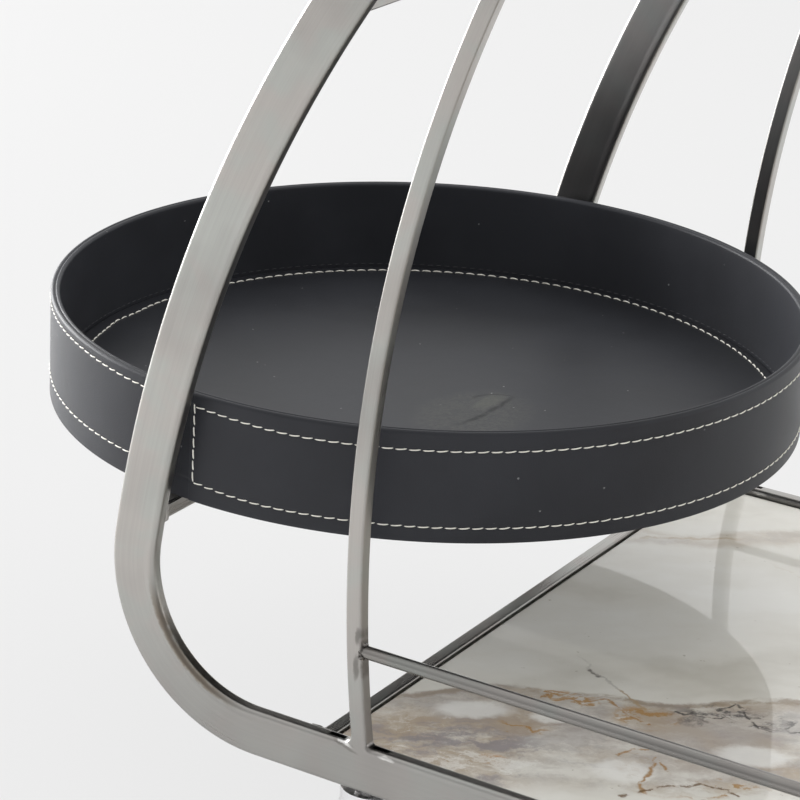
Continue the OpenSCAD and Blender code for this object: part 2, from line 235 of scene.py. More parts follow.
def grid_faces(rows, columns, close_rows, close_columns):
    """Corner indices of the quads of a grid, and the same without wrapping, for the UVs."""
    i, j = np.meshgrid(np.arange(rows if close_rows else rows - 1),
                       np.arange(columns if close_columns else columns - 1), indexing="ij")
    i, j = i.ravel(), j.ravel()
    steps = [(0, 0), (1, 0), (1, 1), (0, 1)]
    index = np.stack([((i + a) % rows) * columns + (j + b) % columns for a, b in steps], 1)
    open_index = np.stack([(i + a) * (columns + 1) + (j + b) for a, b in steps], 1)
    return index, open_index


def rounded_outline(w, h, r, steps=6, gap=2.5):
    """Rounded rectangle, anticlockwise: four quarter circles of radius r round the corners,
    and points at most gap apart on the straight runs between them."""
    turn = np.linspace(0, math.pi / 2, steps)
    corners = ((1, 1), (-1, 1), (-1, -1), (1, -1))
    arcs = [np.array([sx * (w / 2 - r), sy * (h / 2 - r)])
            + r * np.stack([np.cos(turn + k * math.pi / 2), np.sin(turn + k * math.pi / 2)], 1)
            for k, (sx, sy) in enumerate(corners)]
    runs = []
    for first, second in zip(arcs, arcs[1:] + arcs[:1]):
        start, stop = first[-1], second[0]
        inner = np.linspace(0, 1, int(np.linalg.norm(stop - start) / gap) + 2)[1:-1, None]
        runs += [first, start + inner * (stop - start)]
    return np.concatenate(runs)


def round_outline(d, steps=24):
    """Circle, anticlockwise."""
    angle = np.arange(steps) * 2 * math.pi / steps
    return np.stack([np.cos(angle), np.sin(angle)], 1) * d / 2


def swept(name, path, tangents, side, outlines, closed=False, u_shift=0.0):
    """An outline carried along a path, with caps at the ends of an open one.

    Point (p, q) of the outline at path point c is c + p (side x tangent) + q side. The outline
    is one for the whole path, or one for each of its points. Normals come from the differences
    between neighbours along and round the surface."""
    tangents = unit(np.asarray(tangents, float))
    side = unit(np.broadcast_to(np.asarray(side, float), tangents.shape))
    first = unit(np.cross(side, tangents))
    outlines = np.broadcast_to(outlines, (len(path),) + outlines.shape[-2:])
    points = path[:, None] + outlines[..., :1] * first[:, None] + outlines[..., 1:] * side[:, None]
    rows, columns = points.shape[:2]
    if closed:
        along = np.roll(points, -1, 0) - np.roll(points, 1, 0)
    else:
        along = np.gradient(points, axis=0)
    around = np.roll(points, -1, 1) - np.roll(points, 1, 1)
    normals = unit(np.cross(around, along)).reshape(-1, 3)
    index, open_index = grid_faces(rows, columns, closed, True)
    index, open_index = index[:, ::-1], open_index[:, ::-1]
    steps = np.linalg.norm(np.diff(np.concatenate([path, path[:1]]), axis=0), axis=1)
    u = np.concatenate([[0], np.cumsum(steps)]) + u_shift
    ring = np.concatenate([outlines[0], outlines[0][:1]])
    v = np.concatenate([[0], np.cumsum(np.linalg.norm(np.diff(ring, axis=0), axis=1))])
    uu, vv = np.meshgrid(u, v, indexing="ij")
    grid_uv = np.stack([uu.ravel(), vv.ravel()], 1)
    faces, uv, loops = [index], [grid_uv[open_index.ravel()]], [normals[index.ravel()]]
    if not closed:
        for row, direction in ((0, -1), (rows - 1, 1)):
            order = np.arange(columns)[::direction]
            faces.append((row * columns + order)[None])
            uv.append(outlines[row][order] + [u[row], 0])
            loops.append(np.repeat(tangents[row:row + 1] * direction, columns, 0))
    return new_piece(name, points.reshape(-1, 3), faces, np.concatenate(uv), np.concatenate(loops))


def arc(cx, cz, r, start, stop, step):
    """Points and tangents of an arc in the XZ plane, from angle start to stop."""
    count = max(2, int(abs(stop - start) * r / step) + 1)
    angle = np.linspace(start, stop, count)
    way = math.copysign(1.0, stop - start)
    points = np.stack([cx + r * np.cos(angle), 0 * angle, cz + r * np.sin(angle)], 1)
    tangents = way * np.stack([-np.sin(angle), 0 * angle, np.cos(angle)], 1)
    return points, tangents


def line(start, stop, count):
    """Points and tangents of a straight line."""
    start, stop = np.asarray(start, float), np.asarray(stop, float)
    t = np.linspace(0, 1, count)[:, None]
    return start + t * (stop - start), np.repeat(unit(stop - start)[None], count, 0)


def dress(piece, body, slot, finish, *nodes):
    """Puts a finish on a piece, lets it ride on a body and stand for its CAD nodes."""
    piece.data.materials.clear()
    piece.data.materials.append(finish.material)
    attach(piece, body)
    if nodes:
        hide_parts(*nodes)
    return piece


def dress_bar(piece, finish, *nodes):
    return dress(piece, "frame", "bar_metal", finish, *nodes)


# ------------ finishes
WARM, GREENISH, SHADE = (0.385, 0.366, 0.346), (0.37, 0.375, 0.355), (0.235, 0.228, 0.217)


def brushed(name, rough, grain_scale=(13.0, 2300.0, 1.0), kind="UV", marks=None, tone=1.0):
    """Satin metal: fine brushing along the bar, patches that lean from warm grey to greenish
    grey, clouds that darken it, and marks, among them painted shade and painted highlights."""
    f = Finish(name, Metallic=1.0)
    here = f.place()
    stretched = f.place(scale=grain_scale, kind=kind)
    fine = f.noise(stretched, 1.0, 3.0, 0.65)
    broad = f.noise(f.vectors("MULTIPLY", stretched, (0.23, 0.23, 0.23)), 1.0, 2.0)
    patches = f.noise(here, 36.0, 2.0, 0.5, 0.5)
    cloud = f.noise(here, 9.0, 3.0, 0.6)
    grain = fine * 0.6 + broad * 0.4
    warm, greenish, shade = (tuple(c * tone for c in colour) for colour in (WARM, GREENISH, SHADE))
    darker = (0.60 - grain).most(0.0) * 0.9 + (0.54 - cloud).most(0.0) * 2.6
    colour = f.mix(darker, f.mix(patches.step(0.38, 0.62), warm, greenish), shade)
    for mask, tint in marks(f) if marks else ():
        colour = f.mix(mask, colour, tint)
    f.set("Base Color", colour)
    f.set("Roughness", (grain - 0.5) * 0.12 + (cloud - 0.5) * 0.18 + rough)
    f.set("Normal", f.bump(grain, 0.00004, 0.4))
    return f


ROD_Z = LOWER_TOP + 52.6
WELD_X = -(THIN_X - math.sqrt((THIN_R - THIN_W) ** 2 - (ROD_Z - THIN_Z) ** 2)) + 2.2
# painted shade colours, in order: on the lower rails, on the inner faces and along the bends' inner edges
LOWER_RAIL_SHADE, INNER_FACE_SHADE, BEND_SHADE = (0.27, 0.26, 0.25), (0.10, 0.10, 0.105), (0.15, 0.12, 0.09)
# the third colour is a painted highlight for the thin bars' feet
BURNT, SOOT, FOOT_HIGHLIGHT = (0.13, 0.125, 0.115), (0.07, 0.06, 0.055), (0.72, 0.71, 0.69)
# middle (distance from the frame's middle, height), half length, half width, lean in degrees,
# strength and tint
BURNS_AND_FOOT_LIGHT = [(WELD_X, ROD_Z + 9.0, 2.0, 5.5, 0.0, 0.75, BURNT),
              (WELD_X, ROD_Z - 7.5, 2.0, 8.5, 0.0, 0.75, BURNT),
              (WELD_X - 4.0, ROD_Z + 3.5, 3.5, 6.0, 0.0, 0.9, SOOT),
              (WELD_X - 4.5, ROD_Z - 7.0, 3.0, 8.0, 0.0, 0.7, (0.12, 0.11, 0.10)),
              # painted light at the thin bars' feet: a painted highlight on the outer fillet, painted shade
              # along the crease below it, a painted highlight further in and painted shade in the dimple
              # between it and the bar
              (305.5, 92.4, 6.5, 1.3, 15.0, 0.8, FOOT_HIGHLIGHT),
              (304.0, 90.4, 9.0, 1.1, 15.0, 0.7, (0.17, 0.16, 0.15)),
              (281.0, 91.0, 5.5, 1.3, 3.0, 0.8, (0.66, 0.65, 0.63)),
              (289.0, 94.5, 3.0, 4.5, 60.0, 0.85, (0.08, 0.075, 0.07))]


def frame_burns_and_painted_light(f):
    """Painted shade on the inner faces, where they mirror the dark tray, and darker towards the
    bottom as painted shade on the lower rails; burnt marks at the rod welds; painted highlights
    and painted shade at the thin bars' ground feet; and a painted brownish shade along the
    rounded inner edge of each bend.

    Places are folded onto one quarter of the cart, as the frame is the same at all four
    corners: distance from the frame's middle, and height. Each burn mark, painted highlight
    and painted shade of the list is an ellipse there."""
    here = f.place(shift=(-FRAME_X * MM, 0.0, 0.0))
    x, _, z = f.axes(f.push(here, f.noise(here, 260.0, 3.0, 0.6, output=1), 0.0022))
    x, sideways = abs(x), abs(f.axes(here)[1])
    # painted shade on the inner faces, which mirror the dark tray
    yield (1.0 - sideways.step(INNER_Y + 0.05, INNER_Y + 0.35)) * 0.6, INNER_FACE_SHADE
    # painted shade, darker towards the bottom, on the lower rails, which mirror the shadowed floor
    yield (1.0 - z.step(75.0, 190.0)) * 0.5, LOWER_RAIL_SHADE
    # burn marks at the rod welds, and painted highlights and painted shade at the feet
    for at_x, at_z, half_long, half_wide, lean, strength, tint in BURNS_AND_FOOT_LIGHT:
        c, d = math.cos(math.radians(lean)), math.sin(math.radians(lean))
        along = ((x - at_x) * c + (z - at_z) * d) / half_long
        across = ((z - at_z) * c - (x - at_x) * d) / half_wide
        yield (1.0 - (along * along + across * across).step(0.1, 1.0)) * strength, tint
    # painted brownish shade along the rounded inner edge of each bend, where it mirrors dark surroundings
    out, down = x + BEND_X, BEND_Z - z
    from_edge = abs((out * out + down * down) ** 0.5 - (BEND_R - BAR_W + 1.6)) / 2.6
    on_bend = (out / 30.0).step(0.1, 1.0) * (down / 30.0).step(0.1, 1.0)
    yield (1.0 - from_edge.step(0.2, 1.0)) * on_bend * 0.8, BEND_SHADE


gunmetal = brushed("brushed_gunmetal", 0.31, marks=frame_burns_and_painted_light)
rod_metal = brushed("brushed_gunmetal_rods", 0.30, tone=0.62)
cross_metal = brushed("brushed_gunmetal_bars", 0.29)
metal_along_x = brushed("brushed_gunmetal_lengthwise", 0.33, (13.0, 2300.0, 2300.0), "Object")
metal_along_y = brushed("brushed_gunmetal_crosswise", 0.33, (2300.0, 13.0, 2300.0), "Object")


def weld_metal():
    """Ground weld: bright metal mottled with dark burnt spots."""
    f = Finish("ground_weld", Metallic=1.0)
    here = f.place()
    spots = f.noise(here, 520.0, 3.0, 0.7)
    f.set("Base Color", f.ramp(spots, [(0.40, (0.06, 0.055, 0.05)), (0.54, (0.20, 0.19, 0.18)),
                                       (0.68, (0.42, 0.41, 0.39))]))
    f.set("Roughness", (spots - 0.5) * 0.3 + 0.3)
    f.set("Normal", f.bump(spots, 0.00025, 0.6))
    return f


weld = weld_metal()


HIDE, DUST = (0.0250, 0.0262, 0.0310), (0.5, 0.5, 0.5)
# painted sheen and painted crease shade for the mat's press marks
PALE_SHEEN, CREASE_SHADE = (0.078, 0.080, 0.070), (0.006, 0.006, 0.007)
PRESS_X, PRESS_Y = TRAY_X + 48.9, -14.0


def black_leather(name, colour, grain_depth, rough, shine, marks=None):
    """Smooth black hide: tiny pebbled grain, soft creases, a faint change of tone and a few
    specks of dust."""
    f = Finish(name, Specular_IOR_Level=shine)
    here = f.place()
    bent = f.push(here, f.noise(here, 60.0, 2.0, output=1), 0.004)
    pores = f.noise(here, 2400.0, 2.0, 0.6)
    tone = f.noise(here, 14.0, 3.0, 0.55)
    grain = f.pebbles(bent, 1400.0, 0.4) * 0.6 + pores * 0.4
    soft = f.bump(f.noise(here, 45.0, 3.0, 0.55, 0.5), 0.0005, 0.22)
    colour = f.mix(tone.step(0.35, 0.65), colour, tuple(c * 1.25 for c in colour))
    if marks:
        soft, coarse, pale, dark = marks(f, soft)
        grain = grain * (coarse + 0.6)
        # pale is a painted sheen and dark a painted shade in the creases
        colour = f.mix(dark, f.mix(pale, colour, PALE_SHEEN), CREASE_SHADE)
        rough = dark * 0.22 + rough
    dust = (1.0 - f.cells(here, 70.0).step(0.022, 0.046)) * pores.step(0.44, 0.48)
    f.set("Base Color", f.mix(dust * 0.6, colour, DUST))
    f.set("Roughness", (pores - 0.5) * 0.10 + (tone - 0.5) * 0.12 + rough)
    f.set("Normal", f.bump(grain, grain_depth, 0.5, soft))
    return f


def press_marks_and_painted_light(f, below):
    """Press marks near the front of the mat: a long crease, an arc that meets its tip and
    coarser grain around both, with painted shade darkening the crease and arc and a painted
    sheen paling the grain around them. Each line is where a distance across it, bent by a wave,
    is nothing. Gives the bump, and where the grain is coarser, where the painted sheen pales it
    and where painted shade darkens it."""
    here = f.place(shift=(-PRESS_X * MM, -PRESS_Y * MM, 0.0))
    across, along, _ = f.axes(f.push(here, f.noise(here, 70.0, 3.0, output=1), 0.004))
    to_crease = abs(across + (along - 6.0) ** 2.0 * 0.004 - 0.6)
    crease = (1.0 - to_crease.step(0.2, 2.4)) * (1.0 - abs(along).step(14.0, 34.0))
    hump = 1.0 - ((along - 20.3) / 8.0) ** 2.0
    to_arc = abs(across + 0.8 + (28.3 - along) * 0.95 + hump * 4.3)
    arc_line = (1.0 - to_arc.step(0.4, 2.2)) * (1.0 - abs(along - 19.5).step(6.5, 10.0))
    area = 1.0 - (((across + 4.0) / 30.0) ** 2.0 + ((along + 10.0) / 42.0) ** 2.0).step(0.3, 1.2)
    between = (1.0 - abs(across + 7.0).step(2.0, 7.0)) * (1.0 - abs(along - 12.0).step(6.0, 18.0))
    sheen_mottle = f.noise(here, 500.0, 3.0, 0.6)
    # dark is painted shade in the crease and arc, pale a painted sheen around them
    dark = (crease * 0.55).most(arc_line * 0.35) * f.noise(here, 160.0, 3.0, 0.6).step(0.2, 0.55)
    pale = between * 0.45 + area * (sheen_mottle.step(0.40, 0.62) * 0.26 + 0.12)
    return f.bump(1.0 - dark, 0.0003, 0.5, below), area * 2.2, pale, dark


wall_leather = black_leather("black_leather_wall", HIDE, 0.00010, 0.47, 0.21)
mat_leather = black_leather("black_leather_mat", tuple(c * 0.88 for c in HIDE), 0.00009, 0.435, 0.21,
                            press_marks_and_painted_light)


def thread_finish(name, rough, twist_scale, detail, first, second):
    """Waxed thread with a fine twist."""
    f = Finish(name, Roughness=rough)
    f.set("Base Color", f.mix(f.noise(f.place(), twist_scale, detail), first, second))
    return f


thread = thread_finish("cream_thread", 0.5, 1800.0, 1.0, (0.86, 0.835, 0.74), (1.0, 0.985, 0.91))
dark_thread = thread_finish("black_thread", 0.45, 1500.0, 2.0, (0.02, 0.02, 0.024), (0.07, 0.07, 0.08))


# Places on the stone are (s, t) in mm, along and across its bands.
BAND_TURN = 35.0
SEEN_UP_TO = -60.0
# middle and half sizes of ellipses
MILK_WINDOWS = [(-243, 3, 20, 11), (-178, -58, 17, 13), (-112, -40, 20, 11), (-205, -4, 12, 7)]
OCHRE_NESTS = [(-158, -2, 18, 14), (-158, -58, 24, 26), (-140, -74, 30, 12), (-215, 22, 30, 7),
               (-222, -16, 14, 10), (-190, 14, 16, 8)]
DARK_NESTS = [(-116, -2, 30, 20), (-88, -34, 22, 14), (-80, -8, 12, 12)]
VIOLET_CORNER, RUST_SPOT = (-262, -44, 62, 44), (-241, -48, 9, 6)
# width and points of bent threads
OCHRE_THREADS = [(1.7, [(-159, -44), (-166, -60), (-172, -70), (-170, -81)]),
                 (1.5, [(-159, -44), (-155, -60)]),
                 (1.5, [(-180, -44), (-169, -35), (-163, -35)]),
                 (1.5, [(-183, 16), (-176, 16), (-170, 8), (-162, -6), (-158, -8)]),
                 (1.5, [(-226, 23), (-214, 16), (-204, 22)])]
BROWN_THREADS = [(1.7, [(-181, -83), (-170, -78), (-160, -73), (-150, -72), (-141, -69), (-135, -71),
                        (-129, -74), (-127, -83)])]
BLACK_THREADS = [(1.5, [(-142, 6), (-138, 1), (-133, 5), (-128, 0), (-122, -1), (-115, 4)]),
                 (1.5, [(-120, 9), (-109, 16), (-106, 12), (-105, -2), (-104, -11)])]
# start, stop, width and strength of straight veins
DARK_VEINS = [((-184, 66), (-158, 10), 1.1, 0.30), ((-179, 53), (-173, 42), 1.6, 0.85)]
OCHRE_VEINS = [((-168, 32), (-155, 4), 1.5, 0.7)]
FAINT_VEINS = [((-136, 221), (-70, 224), 2.2, 0.55), ((-60, 190), (30, 60), 1.6, 0.5),
               ((40, -60), (190, -40), 1.8, 0.6), ((120, 60), (330, 40), 2.0, 0.6)]
MILKY = [(0.32, (0.61, 0.59, 0.53)), (0.48, (0.73, 0.715, 0.66)), (0.68, (0.80, 0.795, 0.755))]
BROWN, BROWN_GREY, VIOLET_GREY = (0.40, 0.315, 0.225), (0.42, 0.375, 0.34), (0.285, 0.262, 0.272)
WHITE, OCHRE, RUST = (0.83, 0.825, 0.79), (0.40, 0.235, 0.09), (0.55, 0.29, 0.12)


def veined_stone():
    """Polished sintered stone.

    Its pattern lies in bands that run 35 degrees off the slab's length. A milky ground meets
    a clouded band at a sharp, bent ledge. In the band soft noise turns patches brown-grey and
    violet-grey, white windows stay open, and short threads run where ridged noise is near
    nothing: dark in one nest, ochre in others. Single veins cross the ground. Where s is past
    SEEN_UP_TO the nests are drawn by noise."""
    f = Finish("veined_stone", Metallic=0.0)
    turned = f.place(turn=(0.0, 0.0, math.radians(-BAND_TURN)))
    wide = f.noise(turned, 9.0, 2.0, 0.5, output=1)
    fine = f.noise(turned, 34.0, 5.0, 0.62, output=1)
    hair = f.noise(turned, 120.0, 4.0, 0.62, output=1)
    bent = f.push(f.push(turned, fine, 0.013), hair, 0.006)
    s, t, _ = f.axes(bent)
    ledge = f.axes(f.push(bent, wide, 0.055))[1]
    streaked = f.vectors("MULTIPLY", f.push(turned, fine, 0.02), (0.55, 1.0, 1.0))

    def spot(at_s, at_t, half_s, half_t):
        along, across = (s - at_s) / half_s, (t - at_t) / half_t
        return 1.0 - (along * along + across * across).step(0.25, 1.25)

    def segment(start, stop):
        """Distance along from the middle of a segment, and across it."""
        (s0, t0), (s1, t1) = start, stop
        length = math.hypot(s1 - s0, t1 - t0)
        us, ut = (s1 - s0) / length, (t1 - t0) / length
        from_s, from_t = s - (s0 + s1) / 2, t - (t0 + t1) / 2
        return abs(from_s * us + from_t * ut), abs(from_s * ut - from_t * us), length

    def vein(start, stop, width, strength):
        """A line from start to stop that fades at both ends."""
        far, off, length = segment(start, stop)
        return (1.0 - off.step(width * 0.2, width)) * (1.0 - (far * (2.0 / length)).step(0.6, 1.1)) * strength

    def thread_line(width, points):
        """The nearest of the segments between the points, fading where each one ends."""
        parts = []
        for start, stop in zip(points, points[1:]):
            far, off, length = segment(start, stop)
            parts.append(1.0 - (off + (far - length / 2).most(0.0)).step(width * 0.1, width))
        return functools.reduce(Value.most, parts)

    def every(kind, places):
        """The strongest of the spots, veins or threads at these places."""
        return functools.reduce(Value.most, [kind(*place) for place in places])

    clouds = f.noise(streaked, 26.0, 8.0, 0.68)
    broken = f.noise(turned, 180.0, 3.0, 0.6).step(0.40, 0.56)
    greys = f.noise(f.push(streaked, hair, 0.01), 40.0, 6.0, 0.66)
    ridge = abs(f.noise(streaked, 30.0, 5.0, 0.6) - 0.5) * 2.0
    gates = f.noise(turned, 14.0, 2.0, 0.5)
    unseen = s.step(SEEN_UP_TO, SEEN_UP_TO + 80.0)

    band = (1.0 - ledge.step(17.0, 23.0)) * ledge.step(-95.0, -60.0)
    band = band.most((1.0 - ledge.step(-190.0, -170.0)) * ledge.step(-270.0, -225.0))
    band = band.most((1.0 - ledge.step(236.0, 243.0)) * ledge.step(218.0, 228.0) * 0.55)
    corner = spot(*VIOLET_CORNER)
    ochre = every(spot, OCHRE_NESTS).most(unseen * gates.step(0.52, 0.62) * band)
    dark = every(spot, DARK_NESTS).most(unseen * gates.step(0.56, 0.66) * band)
    brown = f.mix(gates.step(0.4, 0.6), BROWN, BROWN_GREY)
    rim = (1.0 - abs(ledge - 18.5).step(0.8, 4.5)) * clouds.step(0.38, 0.52) * (1.0 - unseen)
    open_milk = every(spot, MILK_WINDOWS) * clouds.step(0.30, 0.42) * 0.75
    white = open_milk + corner * (1.0 - abs(greys - 0.40).step(0.0, 0.05)) * 0.5
    dark_ridge = (1.0 - ridge.step(0.01, 0.085)) * greys.step(0.42, 0.54)
    faint = every(vein, FAINT_VEINS) * clouds.step(0.35, 0.5)
    flecks = f.noise(turned, 150.0, 3.0, 0.6).step(0.70, 0.76)

    colour = f.ramp(f.noise(streaked, 12.0, 4.0, 0.6), MILKY)
    for mask, tint in ((band * (clouds.step(0.34, 0.60) * 0.82 + 0.06), brown),
                       (rim * 0.7, (0.30, 0.24, 0.175)),
                       ((band * 0.4).most(corner) * greys.step(0.46, 0.60) * 0.85, VIOLET_GREY),
                       (white, WHITE),
                       (ochre * greys.step(0.48, 0.62) * 0.35, (0.46, 0.34, 0.20)),
                       (ochre * (1.0 - ridge.step(0.01, 0.07)) * 0.9, OCHRE),
                       (spot(*RUST_SPOT) * greys.step(0.40, 0.52) * 0.8, RUST),
                       (every(thread_line, OCHRE_THREADS) * broken * 0.9, (0.36, 0.21, 0.085)),
                       (every(thread_line, BROWN_THREADS) * broken * 0.9, (0.17, 0.11, 0.06)),
                       (every(thread_line, BLACK_THREADS) * broken * 0.9, (0.07, 0.065, 0.062)),
                       (dark * dark_ridge * 0.85, (0.10, 0.093, 0.09)),
                       (every(vein, DARK_VEINS) * greys.step(0.3, 0.5), (0.13, 0.12, 0.105)),
                       (every(vein, OCHRE_VEINS).most(faint), (0.42, 0.31, 0.18)),
                       (flecks * 0.5, (0.30, 0.27, 0.20))):
        colour = f.mix(mask, colour, tint)
    f.set("Base Color", colour)
    f.set("Roughness", (clouds - 0.5) * 0.02 + 0.035)
    return f


stone = veined_stone()


def simple_finish(name, colour, rough, metallic=0.0, texture=300.0, depth=0.00005, spread=0.15):
    """Moulded or plated surface with a light mottle and bump."""
    f = Finish(name, Metallic=metallic)
    here = f.place()
    mottle = f.noise(here, texture, 3.0, 0.6)
    darker, lighter = (tuple(c * share for c in colour) for share in (1 - spread, 1 + spread))
    f.set("Base Color", f.mix(mottle, darker, lighter))
    f.set("Roughness", (f.noise(here, 40.0, 2.0) - 0.5) * 0.15 + rough)
    f.set("Normal", f.bump(mottle, depth, 0.4))
    return f


chrome = simple_finish("polished_chrome", (0.74, 0.74, 0.75), 0.18, 1.0, 60.0, 0.00001, 0.03)
core_plastic = simple_finish("moulded_core", (0.035, 0.035, 0.037), 0.5)
tyre_rubber = simple_finish("tyre_rubber", (0.018, 0.018, 0.018), 0.72, 0.0, 500.0, 0.0001)
pedal_plastic = simple_finish("moulded_pedal", (0.03, 0.03, 0.031), 0.45)
pad_rubber = simple_finish("pad_rubber", (0.02, 0.02, 0.02), 0.8)
board_leather = black_leather("tray_underside", (0.02, 0.02, 0.022), 0.0002, 0.6, 0.3)


# ------------ side frames
# how high bending raised a ridge beside the bar's inner edge
LONG_RIDGE, BEND_RIDGE, CROWN_RIDGE = 0.10, 0.42, 0.2


def frame_loop(y):
    """Middle line of a side frame, a closed loop of a straight rail and five tangent arcs,
    with the height of the ridge along its inner edge: a low one on the straight and long
    parts, and one that swells and fades as a sine over each bend and the crown."""
    mid = BAR_W / 2
    right_low, right_high = math.pi - LOW_ANGLE, math.pi - HIGH_ANGLE
    parts = [(line([BEND_X, 0, RAIL_Z + mid], [-BEND_X, 0, RAIL_Z + mid], 150), 0.0),
             (arc(-BEND_X, BEND_Z, BEND_R - mid, -math.pi / 2, right_low, 1.8), BEND_RIDGE),
             (arc(-SIDE_X, SIDE_Z, SIDE_R - mid, right_low, right_high, 3.5), 0.0),
             (arc(0, CROWN_Z, CROWN_R - mid, right_high, HIGH_ANGLE, 3.0), CROWN_RIDGE),
             (arc(SIDE_X, SIDE_Z, SIDE_R - mid, HIGH_ANGLE, LOW_ANGLE, 3.5), 0.0),
             (arc(BEND_X, BEND_Z, BEND_R - mid, LOW_ANGLE, 1.5 * math.pi, 1.8), BEND_RIDGE)]
    points = np.concatenate([p[:-1] for (p, _), _ in parts])
    tangents = np.concatenate([t[:-1] for (_, t), _ in parts])
    swells = [height * np.sin(np.linspace(0, math.pi, len(p)))[:-1] ** 0.8 for (p, _), height in parts]
    return points + [FRAME_X, y, 0], tangents, np.concatenate(swells) + LONG_RIDGE


def ridged(outline, ridge):
    """The outline for each ridge height: faces swell beside the inner edge as a bell curve,
    with a lower hollow next to it."""
    p, q = outline.T
    in_from_edge = BAR_W / 2 - p
    bell = np.exp(-((in_from_edge - 3.4) ** 2)) - 0.5 * np.exp(-(((in_from_edge - 6.0) / 1.4) ** 2))
    swell = ridge[:, None] * bell * np.sign(q) * np.clip(np.abs(q) / 2 - 0.5, 0, 1)
    return np.stack([np.broadcast_to(p, swell.shape), q + swell], 2)


def thin_bar_path():
    """Middle line of the left thin bar, from inside the rail to inside the side bar."""
    radius = THIN_R - THIN_W / 2
    low = math.pi - math.asin((RAIL_TOP - 3.0 - THIN_Z) / radius)
    path, tangents = arc(THIN_X, THIN_Z, radius, low, math.radians(140.0), 3.0)
    outside_bar = np.hypot(path[:, 0] - SIDE_X, path[:, 2] - SIDE_Z) < SIDE_R - BAR_W + 9.0
    return path[outside_bar], tangents[outside_bar]


def foot_fillet(name, y, end, way, radius):
    """Ground weld at a thin bar's foot: a bar edge that comes down the thin bar's side, turns
    through a quarter circle and runs out along the rail, its rounding growing as it goes."""
    side_r = THIN_R if way < 0 else THIN_R - THIN_W
    corner = np.array([THIN_X - math.sqrt(side_r ** 2 - (RAIL_TOP - THIN_Z) ** 2), 0, RAIL_TOP])
    up = unit(np.array([RAIL_TOP - THIN_Z, 0, -(corner[0] - THIN_X)]))
    out = np.array([way, 0.0, 0.0])
    half = math.acos(float(up @ out)) / 2
    centre = corner + unit(up + out) * radius / math.sin(half)
    reach = radius / math.tan(half)
    start, stop = corner + up * reach - centre, corner + out * reach - centre
    a0, a1 = math.atan2(start[2], start[0]), math.atan2(stop[2], stop[0])
    a1 = a0 + (a1 - a0 + math.pi) % (2 * math.pi) - math.pi
    down, down_way = line(corner + up * (reach + 6), corner + up * reach, 5)
    bend, bend_way = arc(centre[0], centre[2], radius, a0, a1, 0.35)
    run, run_way = line(corner + out * reach, corner + out * (reach + 9), 7)
    path = np.concatenate([down[:-1], bend, run[1:]]) * [end, 1, 1] + [FRAME_X, y, 0]
    tangents = np.concatenate([down_way[:-1], bend_way, run_way[1:]]) * [end, 1, 1]
    grow = np.concatenate([np.zeros(4), np.linspace(0, 1, len(bend)) ** 0.7, np.ones(6)])[:, None, None]
    deep = 5.0
    slim, wide = (rounded_outline(deep, BAR_T + 0.03, r, 8, 20.0) for r in (1.5, 2.45))
    # the outline's first direction points into the metal on one side and out of it on the other
    into_metal = np.array([deep / 2 * (1 if way < 0 else -1), 0.0])
    outlines = slim + (wide - slim) * grow + into_metal
    dress_bar(swept(name, path, tangents, -Y_AXIS * end, outlines), gunmetal)


def weld_bead(name, centre, axis, radius, tube, seed):
    """Ring of weld: a torus whose tube swells and shrinks as two sines round it."""
    around = np.linspace(0, 2 * math.pi, 40, endpoint=False)
    across = np.linspace(0, 2 * math.pi, 12, endpoint=False)
    first = unit(np.cross(axis, Z_AXIS + 0.1 * X_AXIS))
    second = np.cross(axis, first)
    out = np.cos(around)[:, None] * first + np.sin(around)[:, None] * second
    thick = tube * (1 + 0.28 * np.sin(3 * around + seed) + 0.16 * np.sin(7 * around + 2 * seed))
    lean = 0.25 * tube * np.sin(2 * around + seed)
    points = (np.asarray(centre) + out[:, None] * (radius + thick[:, None] * np.cos(across))[..., None]
              + np.asarray(axis) * (lean[:, None] + thick[:, None] * np.sin(across))[..., None])
    index, _ = grid_faces(40, 12, True, True)
    piece = new_piece(name, points.reshape(-1, 3), [index])
    return dress_bar(piece, weld)


EDGE_ROUND, SUNK = 1.2, 1.5


def weld_collar(name, centre, way, w, h, outward, inward, top, highest):
    """Concave weld round the end of a cross bar.

    Each point of the bar's outline is carried through a quarter circle from the frame's face
    to the bar's, of radius outward on the side that faces away from the cart's middle, inward
    on the other and top above and below. Both ends run on into the metal."""
    outline = rounded_outline(w, h, EDGE_ROUND, 6, 1.5)
    facing = unit(outline / [w, h])
    away = facing[:, 0] * math.copysign(1.0, centre[0] - FRAME_X)
    spread = (outward * np.clip(away, 0, 1) ** 2 + inward * np.clip(-away, 0, 1) ** 2
              + top * facing[:, 1] ** 2)[None]
    turn = np.linspace(0, math.pi / 2, 9)[:, None]
    sunk = np.full(spread.shape, -SUNK)
    off = np.concatenate([spread, spread * (1 - np.sin(turn)) + 0.04, sunk])
    along = np.concatenate([sunk, spread * (1 - np.cos(turn)), spread + 0.3])
    past_corner = np.clip(np.abs(outline) - [w / 2 - EDGE_ROUND, h / 2 - EDGE_ROUND], 0, None)
    flat = outline + off[..., None] * unit(np.sign(outline) * past_corner + 1e-9 * outline)
    points = np.stack([centre[0] + flat[..., 0], centre[1] + way * along,
                       np.minimum(centre[2] + flat[..., 1], highest)], 2)
    rows, columns = points.shape[:2]
    index, _ = grid_faces(rows, columns, False, True)
    caps = [np.arange(columns)[None], ((rows - 1) * columns + np.arange(columns))[None, ::-1]]
    faces = [index, *caps] if way > 0 else [index[:, ::-1], *(c[:, ::-1] for c in caps)]
    return dress_bar(new_piece(name, points.reshape(-1, 3), faces), cross_metal)


